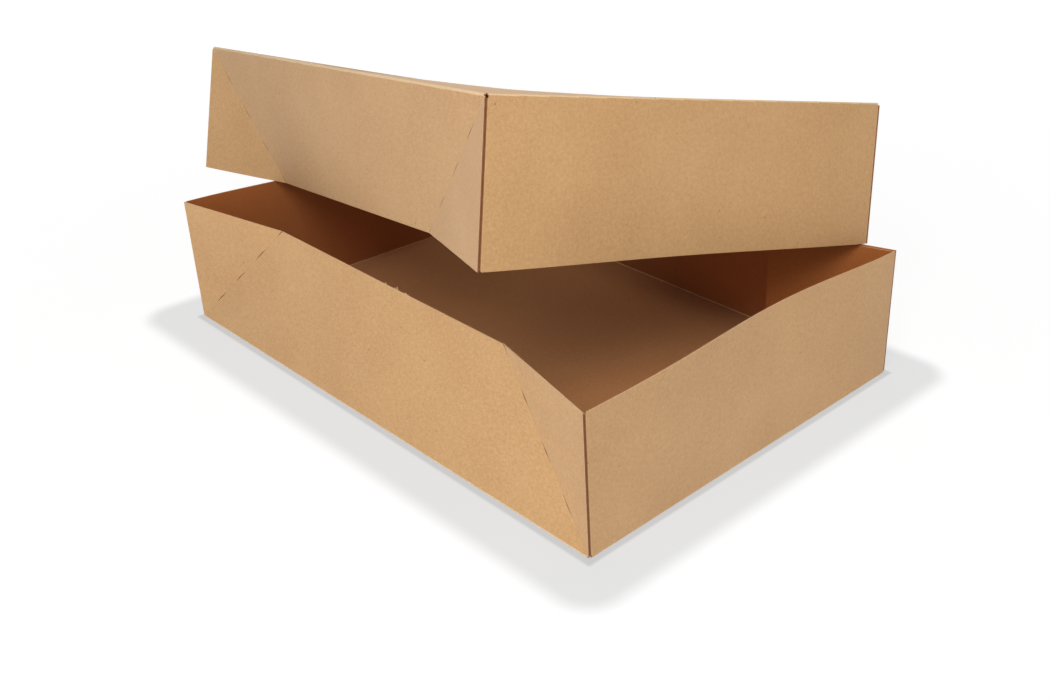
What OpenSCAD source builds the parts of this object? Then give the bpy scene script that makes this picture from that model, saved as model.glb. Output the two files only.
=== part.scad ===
// Kraft catering box: an open tray and a loose windowed lid laid askew over it.
// Each carton is one folded and glued sheet of board. The tray stands at z = 0 with
// its long walls along X, and its front right corner at +X, -Y.

/* [Tray] */
// Length of the tray over its end walls, at the base
tray_length = 359; // [300:1:420]
// Width of the tray over its long walls, at the base
tray_width = 252; // [210:1:300]
// Height of the tray's walls
tray_height = 80; // [65:1:95]

/* [Lid] */
// Height of the lid's walls
lid_height = 80; // [65:1:95]
// Slack between a wall of the lid and a wall of the tray, on each side
lid_slack = 1.4; // [1:0.1:3]

/* [Window] */
// Board left between the window and the lid's long edges
window_side_margin = 48; // [35:1:70]
// Board left between the window and the lid's short edges
window_end_margin = 52; // [35:1:80]
// Corner radius of the window
window_radius = 14; // [6:1:30]
// Width of film glued to the board around the window
film_lap = 12; // [6:1:20]
// Thickness of the window film
film_thickness = 0.15; // [0.1:0.05:0.3]
// Thickness of the glue between the film and the board
film_glue = 0.2; // [0.15:0.05:0.3]

/* [Board] */
// Thickness of the board
board = 0.6; // [0.5:0.1:0.9]
// Outside radius of a fold
fold_radius = 0.9; // [0.9:0.1:1.4]
// Gap at a corner between a long wall's cut end and the folded end wall
seam_gap = 0.4; // [0.3:0.1:1.2]
// Length of the glue flap that an end wall folds behind each long wall
flap_length = 79; // [60:1:85]
// Drop of a glue flap's top edge below the rim
flap_drop = 0.8; // [0:0.1:2]
// Rise of a glue flap's lower edge towards its free end
flap_taper = 6; // [5:1:12]

/* [Corner creases] */
// Distance from a corner at which the tray's slanting crease meets the rim
tray_crease_run = 80; // [70:1:95]
// Distance from a corner at which the lid's slanting crease meets the rim
lid_crease_run = 88; // [70:1:95]
// Height of the middle of a crease's first slit above the base
slit_start = 19.5; // [14:0.5:25]
// Height from one slit to the next
slit_pitch = 20; // [16:1:30]
// Height that one slit covers
slit_rise = 10; // [4:1:14]
// Width of a tray slit at its middle
tray_slit_width = 0.8; // [0.3:0.1:1.2]
// Width of a lid slit at its middle
lid_slit_width = 0.5; // [0.3:0.1:1.2]

/* [Lean of the walls] */
// Inward lean of the tray's long walls
tray_lean = 15; // [8:0.5:20]
// Inward lean of the lid's long walls
lid_lean = 15.4; // [8:0.1:20]
// Inward bow of the tray's right end wall at its rim
tray_bow_right = 7.5; // [0:0.5:12]
// Inward bow of the tray's left end wall at its rim
tray_bow_left = 9; // [0:0.5:12]
// Inward bow of the lid's end walls at their rims
lid_bow = 4; // [0:0.5:8]
// Sag of the lid's top panel at its middle
panel_sag = 3.5; // [0:0.5:6]

/* [Rest of the lid] */
// Distance from the tray's front left corner to where the lid's front wall rests on the left rim
left_rest = 58.7; // [45:0.1:75]
// Distance from the tray's back right corner to where the lid's end wall rests on the back rim
right_rest = 19.4; // [12:0.1:30]
// Distance from the lid's back right corner to that resting point
corner_overhang = 2.5; // [2:0.5:8]
// Tip of the lid about the line through its two resting points
lid_tip = -13.35; // [-17:0.05:-9]
// Clearance left at each point where the lid rests
rest_gap = 0.45; // [0.3:0.05:0.8]

/* [Hidden] */

LEFT = -1;
RIGHT = 1;
FRONT = -1;
BACK = 1;

// Number of flat steps round a fold, and along each kind of panel
fold_steps = 4;
tray_long_steps = 2;
lid_long_steps = 10;
end_steps = 16;
flap_steps = 3;
lid_rise_steps = 5;
lid_triangle_steps = 3;
film_steps = 12;
// Width of the strip of base panel that a folded wall sheet takes with it
base_strip = 3;
// Thickness of the glue between a flap and the long wall it is stuck to
glue_line = 0.1;
// Share of the width, from the front, at which each end wall bows the most
tray_bow_peak_left = 0.45;
tray_bow_peak_right = 0.6;
lid_bow_peak = 0.5;
// Depth below the lid's top panel at which its sag has died out: it is full down to half of that
sag_fade = 10;
// Reach past both faces of what cuts a hole
cut_reach = 10;
window_facets = 32;

lid_length = tray_length + 2 * (lid_slack + board);
lid_width = tray_width + 2 * (lid_slack + board);
window_length = lid_length - 2 * window_end_margin;
window_width = lid_width - 2 * window_side_margin;

// A carton as a list: length, width, height, crease run, lean, left and right bow, their peaks
tray_form = [tray_length, tray_width, tray_height, tray_crease_run, tray_lean,
             tray_bow_left, tray_bow_right, tray_bow_peak_left, tray_bow_peak_right, tray_slit_width];
lid_form = [lid_length, lid_width, lid_height, lid_crease_run, lid_lean,
            lid_bow, lid_bow, lid_bow_peak, lid_bow_peak, lid_slit_width];

function half_length(form) = form[0] / 2;
function half_width(form) = form[1] / 2;
function wall_height(form) = form[2];
function crease_run(form) = form[3];
function lean(form) = form[4];
function bow(form, side) = side == LEFT ? form[5] : form[6];
function bow_peak(form, side) = side == LEFT ? form[7] : form[8];
function slit_width(form) = form[9];

function unit(v) = v / norm(v);
function mix(a, b, share) = a + (b - a) * share;
function steps(n) = [for (i = [0:n]) i / n];
function mitre(a, b) = (a + b) / (1 + a * b);

// Where a rising function of one value crosses zero, by halving the interval
function root(f, low, high, halvings = 30) =
    let (middle = (low + high) / 2)
    halvings == 0 ? middle
    : f(middle) > 0 ? root(f, low, middle, halvings - 1)
    : root(f, middle, high, halvings - 1);

// Distance from a corner, at one height of wall, at which the crease lies
function crease_slope(form) = crease_run(form) / wall_height(form);

// Lean of a corner edge that the folded board needs for the long walls' lean
function corner_lean(form) =
    let (k = crease_slope(form), c = cos(lean(form)))
    atan2(k, c) - acos(1 / norm([k, c]));

// A wall's sheet coordinate v is the distance up the board from the base fold.
function corner_point(form, side, end, v) =
    [side * (half_length(form) - v * sin(corner_lean(form))),
     end * half_width(form),
     v * cos(corner_lean(form))];

function crease_point(form, side, end, v) =
    [side * (half_length(form) - crease_slope(form) * v),
     end * (half_width(form) - v * sin(lean(form))),
     v * cos(lean(form))];

// Directions at a corner: along the long wall's corner triangle, and its outward normal
function triangle_run(form, side, end) =
    unit(crease_point(form, side, end, wall_height(form)) - corner_point(form, side, end, wall_height(form)));
function triangle_normal(form, side, end) =
    let (up = unit(corner_point(form, side, end, wall_height(form)) - corner_point(form, side, end, 0)))
    side * end * cross(triangle_run(form, side, end), up);
function long_normal(form, end) = [0, end * cos(lean(form)), sin(lean(form))];

// Lean of an end wall across its width: a smooth bow that dies out at both corners
function bow_share(form, side, y) =
    let (across = min(max(y / (2 * half_width(form)) + 0.5, 0), 1))
    pow(sin(180 * pow(across, ln(0.5) / ln(bow_peak(form, side)))), 2);
function end_lean(form, side, y) =
    asin(sin(corner_lean(form)) + bow(form, side) * bow_share(form, side, y) / wall_height(form));
function end_point(form, side, y, v) =
    [side * (half_length(form) - v * sin(end_lean(form, side, y))), y, v * cos(end_lean(form, side, y))];
function end_normal(form, side, y) =
    [side * cos(end_lean(form, side, y)), 0, sin(end_lean(form, side, y))];

// Distance from a fold line to where its rounding ends, for a turn of 90 degrees and a lean
function fold_reach(turn) = fold_radius * tan(turn / 2);

// A rounded base fold, as [outer point, normal] pairs from the base strip to the wall's foot.
// The outward direction of the wall and a point of the fold line place it.
function base_fold(line_point, outward, wall_lean) =
    let (turn = 90 + wall_lean, reach = fold_reach(turn))
    [[line_point - base_strip * outward, [0, 0, -1]],
     for (share = steps(fold_steps))
         let (normal = [0, 0, -cos(turn * share)] + sin(turn * share) * outward)
         [line_point - reach * outward + fold_radius * ([0, 0, 1] + normal), normal]];

// Where a slanting crease starts: past the seam, and above the rounded base fold
function crease_foot(form) = max(seam_gap + 0.3, crease_slope(form) * (fold_reach(90 + lean(form)) + 0.2));

// Heights of the middles of a crease's slits. The last slit may run out at the rim.
function slit_middles(form) =
    [for (v = slit_start; v < wall_height(form) + slit_rise / 2 - 1; v = v + slit_pitch) v];

// Half the width of the crease's opening at one height: each slit is a long narrow eye
function slit_half_gap(form, v) =
    slit_width(form) / 2 * max([for (middle = slit_middles(form)) max(0, 1 - 2 * abs(v - middle) / slit_rise)]);

// Heights at which a slanting crease has a kink, each with its half gap
function crease_rows(form) =
    let (foot = crease_foot(form) / crease_slope(form), top = wall_height(form),
         kinks = [for (middle = slit_middles(form), part = [-0.5, 0, 0.5]) middle + part * slit_rise],
         heights = concat(foot, [for (v = kinks) if (v > foot + 1 && v < top - 0.5) v], top))
    [for (v = heights) [v, slit_half_gap(form, v)]];

// A patch of board: a grid of points on each face, and which stretches of its four borders are
// free cut edges. A border that isn't free is shared, point for point, with the next patch.
function all(count) = [for (i = [1:count]) true];
function none(count) = [for (i = [1:count]) false];
function patch(outer, inner, first, last, left, right) = [outer, inner, first, last, left, right];
function free_patch(outer, inner) =
    let (across = len(outer[0]) - 1, along = len(outer) - 1)
    patch(outer, inner, all(across), all(across), all(along), all(along));

// A patch from a grid of [outer point, inward offset] pairs, drawn through a shaping function
function shaped_patch(stations, shape, flip, first, last, left, right) =
    let (outer = [for (row = stations) [for (station = row) shape(station[0])]],
         inner = [for (row = stations) [for (station = row) shape(station[0] - board * station[1])]])
    flip ? patch(inner, outer, first, last, left, right) : patch(outer, inner, first, last, left, right);

function patch_points(patch) = concat([for (row = patch[0]) each row], [for (row = patch[1]) each row]);

// The faces of one patch, whose points start at index base
function patch_faces(patch, base) =
    let (rows = len(patch[0]), columns = len(patch[0][0]), count = rows * columns,
         front = function (i, j) base + i * columns + j,
         back = function (i, j) base + count + i * columns + j)
    [for (i = [0:rows - 2], j = [0:columns - 2])
        each [[front(i, j), front(i, j + 1), front(i + 1, j + 1)],
              [front(i, j), front(i + 1, j + 1), front(i + 1, j)],
              [back(i, j), back(i + 1, j + 1), back(i, j + 1)],
              [back(i, j), back(i + 1, j), back(i + 1, j + 1)]],
     for (i = [0:rows - 2]) if (patch[4][i])
        each [[front(i, 0), front(i + 1, 0), back(i + 1, 0)],
              [front(i, 0), back(i + 1, 0), back(i, 0)]],
     for (i = [0:rows - 2]) if (patch[5][i])
        each [[front(i, columns - 1), back(i + 1, columns - 1), front(i + 1, columns - 1)],
              [front(i, columns - 1), back(i, columns - 1), back(i + 1, columns - 1)]],
     for (j = [0:columns - 2]) if (patch[2][j])
        each [[front(0, j), back(0, j + 1), front(0, j + 1)],
              [front(0, j), back(0, j), back(0, j + 1)]],
     for (j = [0:columns - 2]) if (patch[3][j])
        each [[front(rows - 1, j), front(rows - 1, j + 1), back(rows - 1, j + 1)],
              [front(rows - 1, j), back(rows - 1, j + 1), back(rows - 1, j)]]];

// One folded sheet, from patches that meet along their shared borders
module folded(patches) {
    counts = [for (patch = patches) 2 * len(patch[0]) * len(patch[0][0])];
    bases = [for (i = 0, base = 0; i < len(patches); base = base + counts[i], i = i + 1) base];
    polyhedron(points = [for (patch = patches) each patch_points(patch)],
               faces = [for (i = [0:len(patches) - 1]) each patch_faces(patches[i], bases[i])],
               convexity = 8);
}

// Leaning middle panel of a long wall, with its base fold and the teeth of its slanting creases
function long_panel_stations(form, end, count) =
    let (fold = base_fold([0, end * half_width(form), 0], [0, end, 0], lean(form)),
         foot_half = half_length(form) - crease_foot(form),
         normal = long_normal(form, end))
    concat(
        [for (i = [0:len(fold) - 1])
            let (half = i == 0 ? half_length(form) - base_strip : foot_half)
            [for (share = steps(count)) [fold[i][0] + [mix(-half, half, share), 0, 0], fold[i][1]]]],
        [for (row = crease_rows(form))
            let (left = crease_point(form, LEFT, end, row[0]) + [row[1], 0, 0],
                 right = crease_point(form, RIGHT, end, row[0]) - [row[1], 0, 0])
            [for (share = steps(count))
                share == 0 ? [left, mitre(normal, triangle_normal(form, LEFT, end))]
                : share == 1 ? [right, mitre(normal, triangle_normal(form, RIGHT, end))]
                : [mix(left, right, share), normal]]]);

// Triangle of a long wall between its cut end and a slanting crease
function triangle_stations(form, side, end, count) =
    let (along = triangle_run(form, side, end), normal = triangle_normal(form, side, end),
         crease_normal = mitre(normal, long_normal(form, end)))
    [for (row = crease_rows(form))
        let (cut = corner_point(form, side, end, row[0]) + seam_gap * along,
             crease = crease_point(form, side, end, row[0]) - row[1] * along)
        [for (share = steps(count))
            share == 1 ? [crease, crease_normal] : [mix(cut, crease, share), normal]]];

// Which stretches between crease rows are slit open
function slit_open(form) =
    let (rows = crease_rows(form))
    [for (i = [0:len(rows) - 2]) rows[i][1] + rows[i + 1][1] > slit_width(form) / 1000];

// One long wall: its middle panel and its two corner triangles
function long_wall(form, end, shape, mirrored, free_base, panel_steps, triangle_steps) =
    let (open = slit_open(form), sides = concat(all(fold_steps + 2), open))
    concat(
        [shaped_patch(long_panel_stations(form, end, panel_steps), shape, (end == FRONT) != mirrored,
                      free_base ? all(panel_steps) : none(panel_steps), all(panel_steps), sides, sides)],
        [for (side = [LEFT, RIGHT])
            shaped_patch(triangle_stations(form, side, end, triangle_steps), shape, (side == end) != mirrored,
                         all(triangle_steps), all(triangle_steps), all(len(open)), open)]);

// The fold from an end wall into a glue flap: the line that both outer faces would meet in,
// and how far from that line the rounding reaches
function flap_offset(form, side, end) =
    (board + glue_line) / (end * triangle_normal(form, side, end).y);
function flap_line(form, side, end, v) =
    corner_point(form, side, end, v) - [0, end * flap_offset(form, side, end), 0];
function flap_turn(form, side, end) = 180 - acos(-end * triangle_run(form, side, end).y);
function corner_setback(form, side, end) =
    flap_offset(form, side, end) + fold_reach(flap_turn(form, side, end));
function flap_foot(form) = fold_reach(90 + lean(form)) + 0.7;

// Stations across one end wall's face, between its two corner folds
function end_face_ys(form, side) =
    let (reach = half_width(form) - corner_setback(form, side, FRONT))
    [for (share = steps(end_steps)) mix(-reach, reach, share)];

// Foot of an end wall: its base strip, base fold and the start of the wall
function end_skirt_stations(form, side) =
    let (face_ys = end_face_ys(form, side), strip_half = half_width(form) - base_strip,
         outward = [side, 0, 0])
    [for (i = [0:fold_steps + 2])
        [for (j = [0:end_steps])
            let (y = i == 0 ? mix(-strip_half, strip_half, j / end_steps) : face_ys[j])
            i == fold_steps + 2
                ? [end_point(form, side, y, flap_foot(form)), end_normal(form, side, y)]
                : base_fold([side * half_length(form), y, 0], outward, end_lean(form, side, y))[i]]];

// One glue flap and its fold at one rise, from the flap's free edge to the end wall
function flap_stations(form, side, end, rise) =
    let (along = triangle_run(form, side, end), flap_normal = triangle_normal(form, side, end),
         turn = flap_turn(form, side, end), reach = fold_reach(turn),
         foot = flap_foot(form), top = wall_height(form) - flap_drop,
         wall_normal = end_normal(form, side, end * half_width(form)),
         fold_line = flap_line(form, side, end, mix(foot, top, rise)),
         centre = fold_line + reach * along - fold_radius * flap_normal)
    concat(
        [for (share = steps(flap_steps))
            [flap_line(form, side, end, mix(foot + (1 - share) * flap_taper, top, rise))
                 + mix(flap_length, reach, share) * along,
             flap_normal]],
        [for (i = [1:1:fold_steps - 1])
            let (share = i / fold_steps,
                 normal = (sin(turn * (1 - share)) * flap_normal + sin(turn * share) * wall_normal)
                          / sin(turn))
            [centre + fold_radius * normal, normal]]);

function reversed(list) = [for (i = [len(list) - 1:-1:0]) list[i]];

// An end wall with both of its glue flaps, wrapped round its two corner folds
function end_wrap_stations(form, side, count) =
    let (face_ys = end_face_ys(form, side), foot = flap_foot(form), top = wall_height(form))
    [for (rise = steps(count))
        concat(flap_stations(form, side, FRONT, rise),
               [for (y = face_ys) [end_point(form, side, y, mix(foot, top, rise)), end_normal(form, side, y)]],
               reversed(flap_stations(form, side, BACK, rise)))];

// One end wall: its foot, and the wall with its flaps
function end_wall(form, side, shape, mirrored, free_base, rise_steps) =
    let (flip = (side == RIGHT) != mirrored, flap_edges = flap_steps + fold_steps,
         across = end_steps + 2 * flap_edges)
    [shaped_patch(end_skirt_stations(form, side), shape, flip,
                  free_base ? all(end_steps) : none(end_steps), none(end_steps),
                  all(fold_steps + 2), all(fold_steps + 2)),
     shaped_patch(end_wrap_stations(form, side, rise_steps), shape, flip,
                  concat(all(flap_edges), none(end_steps), all(flap_edges)), all(across),
                  all(rise_steps), all(rise_steps))];

// A rim point of a long wall, at a run along the rim from one corner
function long_rim(form, side, end, run) =
    run < crease_run(form)
        ? corner_point(form, side, end, wall_height(form)) + run * triangle_run(form, side, end)
        : crease_point(form, side, end, wall_height(form)) - [side * (run - crease_run(form)), 0, 0];

// The lid lies open side down. Its top panel is warped: the back left corner hangs lower than
// the plane of the other three, and each wall follows the panel's own normal. The panel also
// sags between its four folds, because the window leaves only a narrow frame of board.
function sag(p) =
    let (share = min(1, max(0, 2 * (1 - p.z / sag_fade))))
    share * panel_sag * (1 - pow(2 * p.x / lid_length, 2)) * (1 - pow(2 * p.y / lid_width, 2));
function warped(p, drop) =
    let (across = (lid_length / 2 - p.x) / lid_length, back = (p.y + lid_width / 2) / lid_width,
         normal = unit([-drop * back / lid_length, drop * across / lid_width, 1]))
    [p.x, p.y, -drop * across * back - sag(p)] - p.z * normal;

// Where the lid touches: on the tray's left rim, on its back rim, and on the table
left_rest_point =
    end_point(tray_form, LEFT, left_rest - tray_width / 2, tray_height) + [0, 0, rest_gap];
right_rest_point = long_rim(tray_form, RIGHT, BACK, right_rest) + [0, 0, rest_gap];
rest_span = norm(right_rest_point - left_rest_point);

function lid_right_rest(drop) =
    warped(end_point(lid_form, RIGHT, lid_width / 2 - corner_overhang, lid_height), drop);
function lid_left_rest(drop) =
    let (right = lid_right_rest(drop),
         run = root(function (run) rest_span - norm(warped(long_rim(lid_form, LEFT, FRONT, run), drop) - right),
                    0, lid_length / 2))
    warped(long_rim(lid_form, LEFT, FRONT, run), drop);

// Rows of a frame whose first axis is given and whose third leans as little as it can
function frame_rows(first) =
    let (third = unit([0, 0, 1] - first.z * first))
    [first, cross(third, first), third];
function transposed(m) = [for (j = [0:2]) [for (i = [0:2]) m[i][j]]];

// The lid's turn and shift for one drop of its back corner
function lid_turn(drop) =
    transposed(frame_rows(unit(right_rest_point - left_rest_point)))
    * [[1, 0, 0], [0, cos(lid_tip), -sin(lid_tip)], [0, sin(lid_tip), cos(lid_tip)]]
    * frame_rows(unit(lid_right_rest(drop) - lid_left_rest(drop)));
function lid_shift(drop) = left_rest_point - lid_turn(drop) * lid_left_rest(drop);
function back_corner_height(drop) =
    (lid_turn(drop) * warped(corner_point(lid_form, LEFT, BACK, lid_height), drop) + lid_shift(drop)).z;

// Drop that brings the lid's back left corner down to the table
lid_drop = root(function (drop) rest_gap - back_corner_height(drop), -tray_height, 2 * tray_height);
lid_matrix = let (turn = lid_turn(lid_drop), shift = lid_shift(lid_drop))
    [for (i = [0:2]) concat(turn[i], shift[i])];

function upright(p) = p;
function warped_lid(p) = warped(p, lid_drop);

module rounded_rectangle(length, width, radius) {
    square([length - 2 * radius, width], center = true);
    square([length, width - 2 * radius], center = true);
    for (side = [LEFT, RIGHT], end = [FRONT, BACK])
        translate([side * (length / 2 - radius), end * (width / 2 - radius)])
            circle(r = radius, $fn = window_facets);
}

module tray() {
    color("burlywood") {
        translate([base_strip - tray_length / 2, base_strip - tray_width / 2, 0])
            cube([tray_length - 2 * base_strip, tray_width - 2 * base_strip, board]);
        for (end = [FRONT, BACK])
            folded(long_wall(tray_form, end, function (p) upright(p), false, true, tray_long_steps, 1));
        for (side = [LEFT, RIGHT])
            folded(end_wall(tray_form, side, function (p) upright(p), false, true, 1));
    }
}

// The lid's top panel before its window is cut
function top_panel_stations() =
    let (half_x = lid_length / 2 - base_strip, half_y = lid_width / 2 - base_strip)
    [for (back = steps(end_steps))
        [for (right = steps(lid_long_steps))
            [[mix(-half_x, half_x, right), mix(-half_y, half_y, back), 0], [0, 0, -1]]]];

module lid() {
    shape = function (p) warped_lid(p);
    color("burlywood")
        multmatrix(lid_matrix)
            difference() {
                folded(concat(
                    [shaped_patch(top_panel_stations(), shape, true, none(lid_long_steps),
                                  none(lid_long_steps), none(end_steps), none(end_steps))],
                    [for (end = [FRONT, BACK])
                        each long_wall(lid_form, end, shape, true, false, lid_long_steps, lid_triangle_steps)],
                    [for (side = [LEFT, RIGHT])
                        each end_wall(lid_form, side, shape, true, false, lid_rise_steps)]));
                linear_extrude(height = 2 * (abs(lid_drop) + cut_reach), center = true)
                    rounded_rectangle(window_length, window_width, window_radius);
            }
}

// Clear film glued under the top panel, a lap wider than the window all round
module window_film() {
    half_x = window_length / 2 + film_lap;
    half_y = window_width / 2 + film_lap;
    face = [for (back = steps(film_steps))
        [for (right = steps(film_steps)) [mix(-half_x, half_x, right), mix(-half_y, half_y, back), 0]]];
    upper = board + film_glue;
    lower = upper + film_thickness;
    color("white", 0.4)
        multmatrix(lid_matrix)
            folded([free_patch([for (row = face) [for (p = row) warped_lid(p + [0, 0, lower])]],
                               [for (row = face) [for (p = row) warped_lid(p + [0, 0, upper])]])]);
}

tray();
lid();
window_film();
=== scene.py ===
"""Catering box with window: a kraft board tray and its loose window lid, dressed for a studio picture.

Everything is in metres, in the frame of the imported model: the tray stands at z = 0 with its long
walls along X.
"""

import logging
import math
from dataclasses import dataclass, field
from enum import Enum
from typing import Any, Dict, List, Optional, Sequence, Tuple

import bmesh
import bpy
from mathutils import Matrix, Vector


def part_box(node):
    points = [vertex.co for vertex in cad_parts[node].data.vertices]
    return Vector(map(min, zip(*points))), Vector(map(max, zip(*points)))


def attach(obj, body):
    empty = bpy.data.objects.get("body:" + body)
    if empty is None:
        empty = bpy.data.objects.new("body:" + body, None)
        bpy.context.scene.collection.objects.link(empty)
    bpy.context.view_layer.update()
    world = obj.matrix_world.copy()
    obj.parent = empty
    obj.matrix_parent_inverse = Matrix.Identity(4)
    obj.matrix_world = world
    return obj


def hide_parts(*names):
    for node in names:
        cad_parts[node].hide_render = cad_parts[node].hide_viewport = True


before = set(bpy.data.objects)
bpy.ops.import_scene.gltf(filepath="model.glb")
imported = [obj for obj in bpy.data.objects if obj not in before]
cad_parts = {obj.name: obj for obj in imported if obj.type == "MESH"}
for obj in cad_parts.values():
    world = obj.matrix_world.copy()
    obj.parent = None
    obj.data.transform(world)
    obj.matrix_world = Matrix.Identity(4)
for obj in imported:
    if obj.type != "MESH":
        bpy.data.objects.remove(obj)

logging.basicConfig(level=logging.INFO, format="%(name)s: %(message)s")
LOG = logging.getLogger("catering_box")

MM = 0.001
BODY = "root"
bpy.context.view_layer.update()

Colour = Tuple[float, float, float, float]
Point = Tuple[float, float, float]
Pair = Tuple[float, float]

WHITE: Colour = (1.0, 1.0, 1.0, 1.0)


def linear(hex_colour: str) -> Colour:
    """Turns an sRGB hex colour into the linear colour that the shaders take.

    Args:
        hex_colour: Six hex digits, such as "c89b6a".

    Returns:
        The linear red, green and blue, with full alpha.
    """
    channels = [int(hex_colour[i:i + 2], 16) / 255 for i in (0, 2, 4)]
    red, green, blue = (c / 12.92 if c <= 0.04045 else ((c + 0.055) / 1.055) ** 2.4 for c in channels)
    return red, green, blue, 1.0


def add_node(
    tree: bpy.types.NodeTree, kind: str, links: Optional[Dict[Any, Any]] = None, **settings: Any,
) -> bpy.types.Node:
    """Adds one shader node, with its settings, its socket values and its links.

    Args:
        tree: The node tree that gets the node.
        kind: The node's type name, without the leading "ShaderNode".
        links: Socket name or index to a value, or to an output socket that feeds it.
        settings: Attributes of the node itself, such as operation.

    Returns:
        The new node.
    """
    node = tree.nodes.new("ShaderNode" + kind)
    for name, value in settings.items():
        setattr(node, name, value)
    for key, value in (links or {}).items():
        if isinstance(value, bpy.types.NodeSocket):
            tree.links.new(value, node.inputs[key])
        else:
            node.inputs[key].default_value = value
    return node


def new_material(name: str) -> Tuple[bpy.types.Material, bpy.types.NodeTree, bpy.types.Node]:
    """Makes an empty node material.

    Args:
        name: What the real material is and how it was made.

    Returns:
        The material, its node tree and its output node.
    """
    material = bpy.data.materials.new(name)
    material.use_nodes = True
    tree = material.node_tree
    tree.nodes.clear()
    return material, tree, add_node(tree, "OutputMaterial")


class Grain(Enum):
    """Which part of the board a finish covers."""

    OUTER = "outer face"
    INNER = "inner face of a wall"
    BASE = "inner face of the base panel"
    CUT = "cut edge"
    SEAM = "corner seam"
    SLIT = "slit edge"
    OUTER_FOLD = "outer fold"
    INNER_FOLD = "inner fold"


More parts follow.
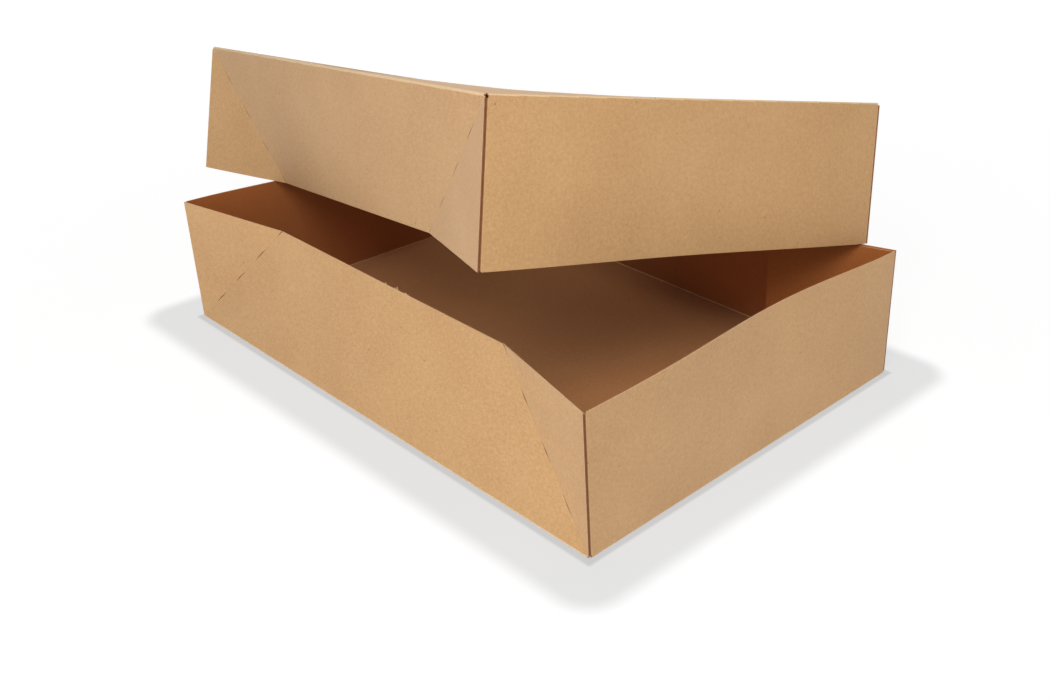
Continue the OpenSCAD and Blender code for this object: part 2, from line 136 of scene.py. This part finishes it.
@dataclass(frozen=True)
class KraftBoard:
    """Unbleached kraft board, as it comes off the paper machine.

    Long softwood fibres lie in all directions and show as fine pale and dark hairs, the pulp is a
    little cloudy, and a few dark bark specks are left in it. It is matt, with a weak sheen at a low
    angle. Real fibres are thinner than a pixel, so they are drawn as coarse as they need to show.
    """

    name: str
    pale: str = "d8ab75"
    deep: str = "ba8a56"
    hair: str = "e4c08f"
    speck: str = "7a4f2c"

    # The pulp: the size of its clouds, and how much a slow drift adds to them (gain and offset).
    cloud_mm: float = 1.7
    drift_mm: float = 55.0
    drift_mix: Pair = (0.45, 0.275)
    tone_range: Pair = (0.66, 1.34)

    # The fibres: width and length, their directions in degrees, and how strongly they show.
    fibre_mm: Pair = (0.42, 2.0)
    fibre_turns: Tuple[Point, Point, Point] = ((8, 14, 22), (80, -12, 68), (20, 75, -35))
    fibre_range: Pair = (0.50, 0.72)
    pale_share: float = 0.30
    dark_share: float = 0.15

    # The bark: its cell size, a speck's rim and core in cells, which cells have one, and its strength.
    speck_mm: float = 11.0
    speck_radius: Pair = (0.065, 0.02)
    speck_cut: float = 0.45
    speck_share: float = 0.6

    # The surface: long waves of the sheet and the nap of its fibres, each as strength and height.
    wave_mm: float = 38.0
    wave_relief: Pair = (0.5, 0.8 * MM)
    nap_relief: Pair = (0.22, 0.05 * MM)
    roughness: float = 0.76
    roughness_spread: Pair = (0.06, 0.08)
    ior: float = 1.47
    specular: float = 0.35
    sheen: Pair = (0.16, 0.5)

    def fibres(
        self, tree: bpy.types.NodeTree, position: bpy.types.NodeSocket, turn: Point,
    ) -> bpy.types.NodeSocket:
        """Lays fibres in one direction: noise drawn out to the fibre's length.

        Args:
            tree: The material's node tree.
            position: The position on the piece, in metres.
            turn: The direction, as a rotation in degrees.

        Returns:
            A socket that is 1 on a fibre and 0 between them.
        """
        width, length = self.fibre_mm
        turned = add_node(tree, "Mapping", {
            "Vector": position,
            "Rotation": tuple(math.radians(a) for a in turn),
            "Scale": (1 / (length * MM), 1 / (width * MM), 1 / (width * MM)),
        })
        noise = add_node(tree, "TexNoise", {
            "Vector": turned.outputs["Vector"],
            "Scale": 1.0, "Detail": 2.0, "Roughness": 0.55, "Distortion": 0.35,
        })
        low, high = self.fibre_range
        return add_node(tree, "MapRange", {
            "Value": noise.outputs["Fac"], "From Min": low, "From Max": high,
        }, interpolation_type="SMOOTHSTEP").outputs["Result"]

    def pulp(
        self, tree: bpy.types.NodeTree, place: bpy.types.NodeSocket, cloud: bpy.types.NodeSocket,
    ) -> bpy.types.NodeSocket:
        """Colours the pulp between its deep and its pale tone.

        Args:
            tree: The material's node tree.
            place: The position on the piece, in metres.
            cloud: The fine clouds of the pulp.

        Returns:
            The colour.
        """
        drift = add_node(tree, "TexNoise", {
            "Vector": place, "Scale": 1 / (self.drift_mm * MM), "Detail": 2.0, "Roughness": 0.5,
        })
        gain, offset = self.drift_mix
        drift = add_node(tree, "Math", {
            0: drift.outputs["Fac"], 1: gain, 2: offset,
        }, operation="MULTIPLY_ADD")
        tone = add_node(tree, "Math", {0: cloud, 1: drift.outputs["Value"]}, operation="ADD")
        low, high = self.tone_range
        tone = add_node(tree, "MapRange", {
            "Value": tone.outputs["Value"], "From Min": low, "From Max": high,
        })
        return add_node(tree, "Mix", {
            "Factor": tone.outputs["Result"], "A": linear(self.deep), "B": linear(self.pale),
        }, data_type="RGBA").outputs["Result"]

    def bark(self, tree: bpy.types.NodeTree, place: bpy.types.NodeSocket) -> bpy.types.NodeSocket:
        """Scatters bark specks, one in some of the cells.

        Args:
            tree: The material's node tree.
            place: The position on the piece, in metres.

        Returns:
            A socket that says how much a speck covers.
        """
        cells = add_node(tree, "TexVoronoi", {
            "Vector": place, "Scale": 1 / (self.speck_mm * MM), "Randomness": 1.0,
        })
        rim, core = self.speck_radius
        bark = add_node(tree, "MapRange", {
            "Value": cells.outputs["Distance"], "From Min": rim, "From Max": core,
        }).outputs["Result"]
        kept = add_node(tree, "Math", {
            0: cells.outputs["Color"], 1: self.speck_cut,
        }, operation="GREATER_THAN").outputs["Value"]
        for factor in (kept, self.speck_share):
            bark = add_node(tree, "Math", {0: bark, 1: factor}, operation="MULTIPLY").outputs["Value"]
        return bark

    def relief(
        self, tree: bpy.types.NodeTree, place: bpy.types.NodeSocket, nap: bpy.types.NodeSocket,
    ) -> bpy.types.NodeSocket:
        """Gives the surface its long waves and, over them, the nap of the fibres.

        Args:
            tree: The material's node tree.
            place: The position on the piece, in metres.
            nap: The fibres that stand out.

        Returns:
            The shading normal.
        """
        waves = add_node(tree, "TexNoise", {
            "Vector": place, "Scale": 1 / (self.wave_mm * MM), "Detail": 1.0, "Roughness": 0.4,
        })
        strength, height = self.wave_relief
        sheet = add_node(tree, "Bump", {
            "Height": waves.outputs["Fac"], "Strength": strength, "Distance": height,
        })
        strength, height = self.nap_relief
        return add_node(tree, "Bump", {
            "Height": nap, "Strength": strength, "Distance": height, "Normal": sheet.outputs["Normal"],
        }).outputs["Normal"]

    def build(self) -> bpy.types.Material:
        """Makes the material.

        Returns:
            The finished material.
        """
        material, tree, output = new_material(self.name)
        place = add_node(tree, "TexCoord").outputs["Object"]
        cloud = add_node(tree, "TexNoise", {
            "Vector": place, "Scale": 1 / (self.cloud_mm * MM), "Detail": 6.0, "Roughness": 0.68,
        }).outputs["Fac"]
        colour = self.pulp(tree, place, cloud)

        first, second, dark = [self.fibres(tree, place, turn) for turn in self.fibre_turns]
        pale = add_node(tree, "Math", {0: first, 1: second}, operation="MAXIMUM").outputs["Value"]
        pale = add_node(tree, "Math", {0: pale, 1: self.pale_share}, operation="MULTIPLY").outputs["Value"]
        thin = add_node(tree, "Math", {0: dark, 1: self.dark_share}, operation="MULTIPLY").outputs["Value"]
        bark = self.bark(tree, place)
        for share, tint in ((pale, self.hair), (thin, self.speck), (bark, self.speck)):
            colour = add_node(tree, "Mix", {
                "Factor": share, "A": colour, "B": linear(tint),
            }, data_type="RGBA").outputs["Result"]

        under, over = self.roughness_spread
        rough = add_node(tree, "MapRange", {
            "Value": cloud, "From Min": 0.3, "From Max": 0.7,
            "To Min": self.roughness - under, "To Max": self.roughness + over,
        })
        nap = add_node(tree, "Math", {0: first, 1: dark}, operation="ADD").outputs["Value"]
        sheen, sheen_roughness = self.sheen
        shader = add_node(tree, "BsdfPrincipled", {
            "Base Color": colour, "Roughness": rough.outputs["Result"],
            "Normal": self.relief(tree, place, nap),
            "IOR": self.ior, "Specular IOR Level": self.specular,
            "Sheen Weight": sheen, "Sheen Roughness": sheen_roughness,
        })
        tree.links.new(shader.outputs["BSDF"], output.inputs["Surface"])
        return material


@dataclass(frozen=True)
class ClearFilm:
    """Biaxially drawn clear film, as on a food window: thin, flat and glossy.

    A faint ripple left by the drawing bends its reflections and drifts in its gloss.
    """

    name: str = "clear window film, drawn polyester"
    tint: str = "4c504f"
    alpha: float = 0.2
    ripple_mm: float = 45.0
    ripple_relief: Pair = (0.4, 0.5 * MM)
    roughness: Pair = (0.03, 0.09)
    ior: float = 1.57
    specular: float = 0.9

    def build(self) -> bpy.types.Material:
        """Makes the material.

        Returns:
            The finished material.
        """
        material, tree, output = new_material(self.name)
        place = add_node(tree, "TexCoord").outputs["Object"]
        ripple = add_node(tree, "TexNoise", {
            "Vector": place, "Scale": 1 / (self.ripple_mm * MM), "Detail": 1.0,
        }).outputs["Fac"]
        smooth, dull = self.roughness
        gloss = add_node(tree, "MapRange", {"Value": ripple, "To Min": smooth, "To Max": dull})
        strength, height = self.ripple_relief
        relief = add_node(tree, "Bump", {"Height": ripple, "Strength": strength, "Distance": height})
        shader = add_node(tree, "BsdfPrincipled", {
            "Base Color": linear(self.tint), "Roughness": gloss.outputs["Result"],
            "IOR": self.ior, "Alpha": self.alpha,
            "Specular IOR Level": self.specular, "Normal": relief.outputs["Normal"],
        })
        tree.links.new(shader.outputs["BSDF"], output.inputs["Surface"])
        return material


@dataclass(frozen=True)
class StudioCard:
    """Matt white card under the object: it throws the lamps' light back up, and glows faintly itself."""

    name: str = "matt white studio card"
    card: str = "f4f4f4"
    glow: float = 0.15

    def build(self) -> bpy.types.Material:
        """Makes the material.

        Returns:
            The finished material.
        """
        material, tree, output = new_material(self.name)
        card = add_node(tree, "BsdfDiffuse", {"Color": linear(self.card)})
        lit = add_node(tree, "Emission", {"Color": WHITE, "Strength": self.glow})
        both = add_node(tree, "AddShader", {0: card.outputs["BSDF"], 1: lit.outputs["Emission"]})
        tree.links.new(both.outputs["Shader"], output.inputs["Surface"])
        return material


@dataclass(frozen=True)
class ShadowCard:
    """White card as the camera sees it, with the photograph's even grey pool round the tray.

    The pool is a painted shadow: it follows the tray's footprint, grown by one margin with a soft edge,
    with a narrow darker line of painted contact shadow where the tray meets the card, and the object's
    own rendered shadow adds to it. Most of its brightness is its own, and the rest is the lamps' light.
    """

    name: str = "white studio card with a painted soft grey shadow"
    lift: float = 0.90
    share: float = 0.13
    white_from: Pair = (0.3, 1.2)
    # The pool and the contact line are painted shadow: how much light each takes away.
    pool: float = 0.235
    contact: float = 0.34
    half_size: Pair = (0.1795, 0.126)
    margin: float = 30 * MM
    softness: float = 14 * MM
    contact_width: float = 4.5 * MM
    corner: float = 20 * MM
    any_height: float = 10.0

    def patch(
        self, tree: bpy.types.NodeTree, place: bpy.types.NodeSocket,
        margin: float, corner: float, softness: float, depth: float,
    ) -> bpy.types.NodeSocket:
        """Draws one soft-edged copy of the tray's footprint, as painted shadow.

        Args:
            tree: The material's node tree.
            place: The position on the card, in metres.
            margin: How far the copy reaches past the footprint, in metres.
            corner: The radius of its corners, in metres.
            softness: The width of its soft edge, in metres.
            depth: How much light it takes away inside.

        Returns:
            A socket that is depth inside the copy and 0 outside.
        """
        inner = tuple(h + margin - corner for h in self.half_size) + (self.any_height,)
        away = add_node(tree, "VectorMath", {0: place}, operation="ABSOLUTE").outputs["Vector"]
        for step, other in (("SUBTRACT", inner), ("MAXIMUM", (0.0, 0.0, 0.0))):
            away = add_node(tree, "VectorMath", {0: away, 1: other}, operation=step).outputs["Vector"]
        gap = add_node(tree, "VectorMath", {0: away}, operation="LENGTH").outputs["Value"]
        return add_node(tree, "MapRange", {
            "Value": gap, "From Min": corner - softness / 2, "From Max": corner + softness / 2,
            "To Min": depth, "To Max": 0.0,
        }, interpolation_type="SMOOTHSTEP").outputs["Result"]

    def build(self) -> bpy.types.Material:
        """Makes the material.

        Returns:
            The finished material.
        """
        material, tree, output = new_material(self.name)
        place = add_node(tree, "TexCoord").outputs["Object"]
        pool = self.patch(tree, place, self.margin, self.corner, self.softness, self.pool)
        contact = self.patch(tree, place, self.contact_width / 2, 0.0, self.contact_width, self.contact)
        both = add_node(tree, "Math", {0: pool, 1: contact}, operation="ADD").outputs["Value"]
        bright = add_node(tree, "Math", {0: 1.0, 1: both}, operation="SUBTRACT").outputs["Value"]
        shade = add_node(tree, "Math", {0: bright, 1: self.share}, operation="MULTIPLY").outputs["Value"]
        away = add_node(tree, "VectorMath", {0: place}, operation="LENGTH").outputs["Value"]
        near, distant = self.white_from
        far = add_node(tree, "MapRange", {
            "Value": away, "From Min": near, "From Max": distant, "To Min": self.lift, "To Max": 1.0,
        }).outputs["Result"]
        glow = add_node(tree, "Math", {0: bright, 1: far}, operation="MULTIPLY").outputs["Value"]
        grey = add_node(tree, "CombineColor", {0: shade, 1: shade, 2: shade}).outputs["Color"]
        card = add_node(tree, "BsdfDiffuse", {"Color": grey})
        lit = add_node(tree, "Emission", {"Color": WHITE, "Strength": glow})
        seen = add_node(tree, "AddShader", {0: card.outputs["BSDF"], 1: lit.outputs["Emission"]})
        tree.links.new(seen.outputs["Shader"], output.inputs["Surface"])
        return material


def link_piece(name: str, mesh: bpy.types.Mesh, slot: str, replaced: Sequence[str] = ()) -> bpy.types.Object:
    """Puts a finished mesh in the scene as a piece of the object.

    Args:
        name: The piece's name.
        mesh: Its mesh, in place.
        slot: The record's material slot that it belongs to, which is only logged.
        replaced: The CAD nodes that it stands for.

    Returns:
        The new object, riding on the body.
    """
    piece = bpy.data.objects.new(name, mesh)
    bpy.context.scene.collection.objects.link(piece)
    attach(piece, BODY)
    if replaced:
        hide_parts(*replaced)
    LOG.info("%s: %d faces, slot %s", name, len(mesh.polygons), slot)
    return piece


@dataclass
class FoldedCarton:
    """One folded and glued board blank, with its CAD node's faces, cut edges and folds told apart."""

    node: str
    slot: str
    finishes: Dict[Grain, KraftBoard]
    opening: Point
    long_axis: Point
    board: float = 0.6 * MM
    weld: float = 0.002 * MM
    crispness: float = 0.5

    # Turns between neighbouring faces, in degrees.
    sharp_angle: float = 32.0
    cut_turn: Pair = (60.0, 180.0)
    fold_turn: Pair = (12.0, 32.0)
    crease_turn: float = 1.0

    # Lengths: a cut's width and a fold's length in boards, a cut's run as a share of its longest edge.
    cut_width: float = 1.35
    cut_run: float = 0.5
    fold_run: float = 2.0
    crease_run: float = 1.5 * MM

    # How far an edge or a normal points along an axis, from 0 across it to 1 along it.
    seam_rise: float = 0.93
    slit_rise: float = 0.6
    fold_rise: float = 0.9
    crease_rise: Pair = (0.55, 0.9)
    end_facing: float = 0.85
    level_facing: float = 0.6
    base_facing: float = 0.9

    def reach(self, side: bmesh.types.BMFace) -> float:
        """Measures a triangle's longest edge, in metres."""
        return max(e.calc_length() for e in side.edges)

    def width(self, side: bmesh.types.BMFace) -> float:
        """Measures how narrow a triangle is.

        Args:
            side: A triangle of the shell.

        Returns:
            Its height above its longest edge, in metres.
        """
        no_length = 1e-9
        return 2 * side.calc_area() / max(self.reach(side), no_length)

    def rise(self, edge: bmesh.types.BMEdge) -> float:
        """Measures how far an edge runs along the carton's opening: 0 across it, 1 along it."""
        return abs((edge.verts[1].co - edge.verts[0].co).normalized().dot(Vector(self.opening)))

    def turns(self, side: bmesh.types.BMFace, limits: Pair, shortest: float) -> List[bmesh.types.BMEdge]:
        """Finds the edges at which a triangle's neighbours are turned from it.

        Args:
            side: A triangle of the shell.
            limits: The least and the greatest turn, in degrees.
            shortest: The least length of such an edge, in metres.

        Returns:
            The edges with a turn in that range.
        """
        low, high = limits
        return [e for e in side.edges
                if len(e.link_faces) == 2
                and low < math.degrees(e.calc_face_angle(0.0)) < high
                and e.calc_length() > shortest]

    def is_inside(self, side: bmesh.types.BMFace, middle: Vector) -> bool:
        """Tells whether a face looks into the carton.

        Args:
            side: A triangle of the shell.
            middle: The carton's middle.

        Returns:
            True for the inner side of the base panel, the walls and the flaps.
        """
        opening = Vector(self.opening)
        along = side.normal.dot(opening)
        if abs(along) > self.level_facing:
            return along > 0
        inward = middle - side.calc_center_median()
        inward -= inward.dot(opening) * opening
        return side.normal.dot(inward) > 0

    def grain_of(self, side: bmesh.types.BMFace, middle: Vector) -> Grain:
        """Tells which part of the board a face is.

        Args:
            side: A triangle of the shell.
            middle: The carton's middle.

        Returns:
            The part, which chooses the finish.
        """
        width = self.width(side)
        sharp = self.turns(side, self.cut_turn, self.cut_run * self.reach(side))
        if width < self.cut_width * self.board and sharp:
            rise = self.rise(max(sharp, key=lambda e: e.calc_length()))
            # Cut ends at the glued corners take the seam finish, painted dark as the shade in their gap.
            if rise > self.seam_rise:
                return Grain.SEAM
            return Grain.SLIT if rise > self.slit_rise else Grain.CUT
        inside = self.is_inside(side, middle)
        folds = self.turns(side, self.fold_turn, self.fold_run * self.board)
        if width < self.board and folds:
            if inside:
                return Grain.INNER_FOLD
            if self.rise(max(folds, key=lambda e: e.calc_length())) < self.fold_rise:
                return Grain.OUTER_FOLD
            # A flap's fold turns into the glued seam: its far half gets the same painted gap shade as the cut
            # end beside it.
            facing = abs(side.normal.dot(Vector(self.long_axis)))
            return Grain.SEAM if facing < self.end_facing else Grain.OUTER
        if not inside:
            return Grain.OUTER
        return Grain.BASE if side.normal.dot(Vector(self.opening)) > self.base_facing else Grain.INNER

    def corner_normals(self, shell: bmesh.types.BMesh) -> List[Vector]:
        """Works out even shading: the normal at each face corner, weighted by area and broken at sharp edges.

        Args:
            shell: The carton's merged shell, with its sharp edges marked.

        Returns:
            One normal for each face corner, in the order of the mesh.
        """
        normals = []
        for side in shell.faces:
            for corner in side.loops:
                fan = {side}
                open_sides = [side]
                while open_sides:
                    here = open_sides.pop()
                    for edge in here.edges:
                        if edge.smooth and corner.vert in edge.verts:
                            for beside in edge.link_faces:
                                if beside not in fan:
                                    fan.add(beside)
                                    open_sides.append(beside)
                total = Vector()
                for other in sorted(fan, key=lambda f: f.index):
                    total += other.normal * other.calc_area()
                normals.append(total.normalized())
        return normals

    def creases(self, shell: bmesh.types.BMesh) -> List[bmesh.types.BMEdge]:
        """Finds the slanting creases of the long walls, which keep a crisp line.

        Args:
            shell: The carton's merged shell.

        Returns:
            The edges that lie on a slanting crease.
        """
        found = []
        least, most = self.crease_rise
        for edge in shell.edges:
            if len(edge.link_faces) != 2 or edge.calc_length() < self.crease_run:
                continue
            turn = math.degrees(edge.calc_face_angle(0.0))
            if self.crease_turn < turn < self.sharp_angle and least < self.rise(edge) < most:
                found.append(edge)
        return found

    def sort_faces(self, shell: bmesh.types.BMesh) -> None:
        """Gives each face the finish of the part of the board that it is.

        Args:
            shell: The carton's merged shell.
        """
        low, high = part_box(self.node)
        middle = (low + high) / 2
        grains = list(self.finishes)
        counts = {grain: 0 for grain in grains}
        for side in shell.faces:
            grain = self.grain_of(side, middle)
            side.smooth = True
            side.material_index = grains.index(grain)
            counts[grain] += 1
        LOG.info("%s: %s", self.node, ", ".join(f"{k.value} {n}" for k, n in counts.items()))

    def build(self) -> bpy.types.Object:
        """Copies the shell, sorts its faces by what they are and dresses it.

        Returns:
            The finished piece.
        """
        shell = bmesh.new()
        shell.from_mesh(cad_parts[self.node].data)
        bmesh.ops.remove_doubles(shell, verts=shell.verts, dist=self.weld)
        bmesh.ops.dissolve_degenerate(shell, edges=shell.edges, dist=self.weld)
        shell.faces.index_update()
        self.sort_faces(shell)
        creases = self.creases(shell)
        limit = math.radians(self.sharp_angle)
        for edge in shell.edges:
            edge.smooth = len(edge.link_faces) == 2 and edge.calc_face_angle(0.0) < limit
        soft = self.corner_normals(shell)
        for edge in creases:
            edge.smooth = False
        crisp = self.corner_normals(shell)
        mesh = bpy.data.meshes.new(self.node + "_board")
        shell.to_mesh(mesh)
        shell.free()
        mixed = [a.lerp(b, self.crispness).normalized() for a, b in zip(soft, crisp)]
        mesh.normals_split_custom_set(mixed)
        for finish in self.finishes.values():
            mesh.materials.append(finish.build())
        LOG.info("%s: %d crease edges", self.node, len(creases))
        return link_piece(self.node + "_board", mesh, self.slot, [self.node])


@dataclass
class TornFibres:
    """Loose fibre ends that the cutting die left standing on the rim of the tray's front wall.

    The rim's place and the tufts are in millimetres. Each tuft has its place along the rim, its
    length, its tilt in degrees and its radius.
    """

    finish: KraftBoard
    rim: Pair = (-105.0, 77.2)
    tufts: Tuple[Tuple[float, float, float, float], ...] = (
        (2.4, 1.7, 12.0, 0.22),
        (3.3, 1.4, -48.0, 0.20),
        (10.4, 2.3, 58.0, 0.32),
        (12.4, 2.9, 24.0, 0.26),
        (13.6, 1.7, -34.0, 0.24),
        (19.6, 2.0, 64.0, 0.36),
        (21.2, 1.9, -62.0, 0.34),
        (22.6, 1.1, 18.0, 0.20),
        (100.2, 1.4, -58.0, 0.24),
        (-36.0, 1.0, 48.0, 0.16),
    )
    sides: int = 6
    taper: float = 0.25
    stand: float = 0.35

    def build(self) -> bpy.types.Object:
        """Sets each tuft on the rim: a thin tapered fibre with its foot in the board.

        Returns:
            The finished piece.
        """
        strands = bmesh.new()
        for along, length, tilt, thick in self.tufts:
            place = Matrix.Translation(Vector((along, *self.rim)) * MM)
            made = bmesh.ops.create_cone(
                strands, cap_ends=True, segments=self.sides,
                radius1=thick * MM, radius2=self.taper * thick * MM, depth=length * MM,
            )
            bmesh.ops.translate(strands, verts=made["verts"], vec=(0.0, 0.0, self.stand * length * MM))
            tilted = place @ Matrix.Rotation(math.radians(tilt), 4, "Y")
            bmesh.ops.transform(strands, matrix=tilted, verts=made["verts"])
        bmesh.ops.recalc_face_normals(strands, faces=strands.faces)
        for side in strands.faces:
            side.smooth = len(side.verts) == 4
        mesh = bpy.data.meshes.new("torn_fibres")
        strands.to_mesh(mesh)
        strands.free()
        mesh.materials.append(self.finish.build())
        return link_piece("torn_fibres", mesh, "kraft_tray")


@dataclass
class WindowFilm:
    """The film behind the window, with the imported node's own mesh and a clear finish."""

    node: str = "window_film"
    finish: ClearFilm = field(default_factory=ClearFilm)

    def build(self) -> bpy.types.Object:
        """Gives the film its finish.

        Returns:
            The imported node.
        """
        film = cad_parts[self.node]
        film.data.materials.clear()
        film.data.materials.append(self.finish.build())
        LOG.info("%s: dressed", self.node)
        return film


@dataclass
class Lamp:
    """A soft square lamp that points at the middle of the box."""

    name: str
    place: Point
    size: float
    power: float
    aim: Point = (0.0, 0.0, 0.08)

    def build(self) -> bpy.types.Object:
        """Hangs the lamp.

        Returns:
            The lamp's object.
        """
        light = bpy.data.lights.new(self.name, "AREA")
        light.shape = "SQUARE"
        light.size = self.size
        light.energy = self.power
        lamp = bpy.data.objects.new(self.name, light)
        lamp.location = self.place
        beam = Vector(self.aim) - Vector(self.place)
        lamp.rotation_euler = beam.to_track_quat("-Z", "Y").to_euler()
        bpy.context.scene.collection.objects.link(lamp)
        return lamp


@dataclass
class Studio:
    """White sweep, soft lamps and the camera at the photograph's angle."""

    floor_size: float = 8.0
    floor_depth: float = 0.2 * MM
    bounce_depth: float = 40 * MM
    ambient: float = 0.15
    backdrop: float = 1.0
    sensor_mm: float = 36.0
    lens_mm: float = 39.582
    nearest: float = 0.01
    shift: Pair = (-0.11729, 0.03370)
    camera_place: Point = (0.488124, -0.423694, 0.346783)
    camera_turn: Point = (59.649495, -0.959163, 43.088870)
    lamps: List[Lamp] = field(default_factory=lambda: [
        Lamp("high near", (0.5, -0.55, 0.85), size=0.4, power=4.8),
        Lamp("high front", (0.45, -0.85, 0.8), size=0.4, power=2.3),
        Lamp("low front", (0.55, -1.4, 0.45), size=0.7, power=3.6),
        Lamp("side", (0.95, 0.15, 0.55), size=0.4, power=0.6),
        Lamp("back", (-1.25, 0.95, 0.85), size=0.8, power=5.5),
        Lamp("overhead", (-0.05, 0.1, 1.3), size=0.5, power=2.4),
    ])

    def lay_card(self, name: str, depth: float, material: bpy.types.Material) -> bpy.types.Object:
        """Lays one sheet of card under the object.

        Args:
            name: The sheet's name.
            depth: How far it lies below the object, in metres.
            material: Its finish.

        Returns:
            The sheet.
        """
        sheet = bmesh.new()
        bmesh.ops.create_grid(sheet, x_segments=1, y_segments=1, size=self.floor_size / 2)
        bmesh.ops.translate(sheet, verts=sheet.verts, vec=(0.0, 0.0, -depth))
        mesh = bpy.data.meshes.new(name)
        sheet.to_mesh(mesh)
        sheet.free()
        mesh.materials.append(material)
        card = bpy.data.objects.new(name, mesh)
        bpy.context.scene.collection.objects.link(card)
        return card

    def build_floor(self) -> None:
        """Lays the card that the camera sees, and under it the card that lights the object from below."""
        seen = self.lay_card("floor", self.floor_depth, ShadowCard().build())
        seen.visible_diffuse = False
        seen.visible_shadow = False
        under = self.lay_card("bounce_card", self.bounce_depth, StudioCard().build())
        under.visible_camera = False
        under.visible_glossy = False
        under.visible_transmission = False

    def build_world(self) -> None:
        """Fills the room with even white light, and shows plain white to camera, gloss and film."""
        world = bpy.data.worlds.new("studio")
        world.use_nodes = True
        tree = world.node_tree
        tree.nodes.clear()
        output = add_node(tree, "OutputWorld")
        ray = add_node(tree, "LightPath")
        seen = ray.outputs["Is Camera Ray"]
        for kind in ("Is Glossy Ray", "Is Transmission Ray"):
            either = {0: seen, 1: ray.outputs[kind]}
            seen = add_node(tree, "Math", either, operation="MAXIMUM").outputs["Value"]
        room, backdrop = [
            add_node(tree, "Background", {"Color": WHITE, "Strength": strength}).outputs["Background"]
            for strength in (self.ambient, self.backdrop)
        ]
        mix = add_node(tree, "MixShader", {0: seen, 1: room, 2: backdrop})
        tree.links.new(mix.outputs["Shader"], output.inputs["Surface"])
        bpy.context.scene.world = world

    def build_camera(self) -> bpy.types.Object:
        """Sets the camera where the photograph was taken from.

        Returns:
            The camera.
        """
        lens = bpy.data.cameras.new("camera")
        lens.sensor_fit = "HORIZONTAL"
        lens.sensor_width = self.sensor_mm
        lens.lens = self.lens_mm
        lens.shift_x, lens.shift_y = self.shift
        lens.clip_start = self.nearest
        camera = bpy.data.objects.new("camera", lens)
        camera.location = self.camera_place
        camera.rotation_euler = tuple(math.radians(a) for a in self.camera_turn)
        bpy.context.scene.collection.objects.link(camera)
        bpy.context.scene.camera = camera
        return camera

    def build(self) -> None:
        """Builds the floor, the lamps, the world and the camera."""
        self.build_floor()
        self.build_world()
        self.build_camera()
        for lamp in self.lamps:
            lamp.build()
        view = bpy.context.scene.view_settings
        view.view_transform = "Standard"
        LOG.info("studio: %d lamps", len(self.lamps))


def board_finishes(piece: str) -> Dict[Grain, KraftBoard]:
    """Chooses the finish of each part of one carton.

    Args:
        piece: The carton's plain name.

    Returns:
        Each part of the board and its finish.
    """
    board = f"kraft board, {piece}"
    return {
        # The calendered outer face is smooth and evenly brown, with its fibres pressed flat.
        Grain.OUTER: KraftBoard(f"{board}, calendered outer face"),
        # The inner face is uncoated and a little rougher; its colour is painted darker and redder as the
        # shade inside the tray.
        Grain.INNER: KraftBoard(
            f"{board}, uncoated inner face with painted shade",
            pale="b0682f", deep="a05b27", hair="c17c42", speck="5c3315", roughness=0.84,
        ),
        # The base panel lies more open to the light: its inner face has lighter, plainer painted shade than
        # the walls.
        Grain.BASE: KraftBoard(
            f"{board}, uncoated base panel with painted shade",
            pale="c0824c", deep="ae723e", hair="d39c69", speck="6b4020", roughness=0.84,
        ),
        # Die-cut edges show loose pale fibre ends.
        Grain.CUT: KraftBoard(
            f"{board}, die-cut edge", pale="d9b184", deep="c59a6b", hair="ecd0a8", roughness=0.88,
        ),
        # Cut ends at the glued corners lie in a narrow gap, and their dark brown is painted shade of that
        # gap.
        Grain.SEAM: KraftBoard(
            f"{board}, cut end with painted gap shade",
            pale="8a5530", deep="6d3f20", hair="a06a40", speck="4a2a14", roughness=0.7,
        ),
        # A slit is a knife cut: its edges are painted darker and browner than a die-cut rim, as shade inside
        # the narrow cut.
        Grain.SLIT: KraftBoard(
            f"{board}, knife slit",
            pale="7a4a28", deep="5f371b", hair="91602f", speck="3c2110", roughness=0.86,
        ),
        # Outside, the fold stretches the face and shows paler fibre; it is painted paler still, as a painted
        # highlight on the rounded edge that also lifts the shade under the bottom folds.
        Grain.OUTER_FOLD: KraftBoard(
            f"{board}, scored fold, outer side", pale="ebcb9f", deep="dcb98b", roughness=0.8,
        ),
        # The score crushes the fibres on the inner side and leaves a thin pale line; it is kept paler than
        # the inner face's painted shade, so it also stands as a painted highlight.
        Grain.INNER_FOLD: KraftBoard(
            f"{board}, scored fold, inner side",
            pale="e0b98c", deep="cda272", hair="efd2aa", roughness=0.84,
        ),
    }


def main() -> None:
    """Builds the dressed pieces and the studio."""
    FoldedCarton(
        "tray", "kraft_tray", board_finishes("tray"),
        opening=(0.0, 0.0, 1.0), long_axis=(1.0, 0.0, 0.0),
    ).build()
    # The lid lies askew, so its own axes are turned.
    FoldedCarton(
        "lid", "kraft_lid", board_finishes("lid"),
        opening=(0.1164, -0.1994, -0.9730), long_axis=(0.9762, -0.1577, 0.1491),
    ).build()
    # Torn fibres are paler than the pressed face round them.
    TornFibres(KraftBoard(
        "kraft pulp fibres, torn",
        pale="dcb88c", deep="c9a275", hair="ecd3ad", cloud_mm=0.8, roughness=0.9,
    )).build()
    WindowFilm().build()
    Studio().build()


if __name__ == "__main__":
    main()
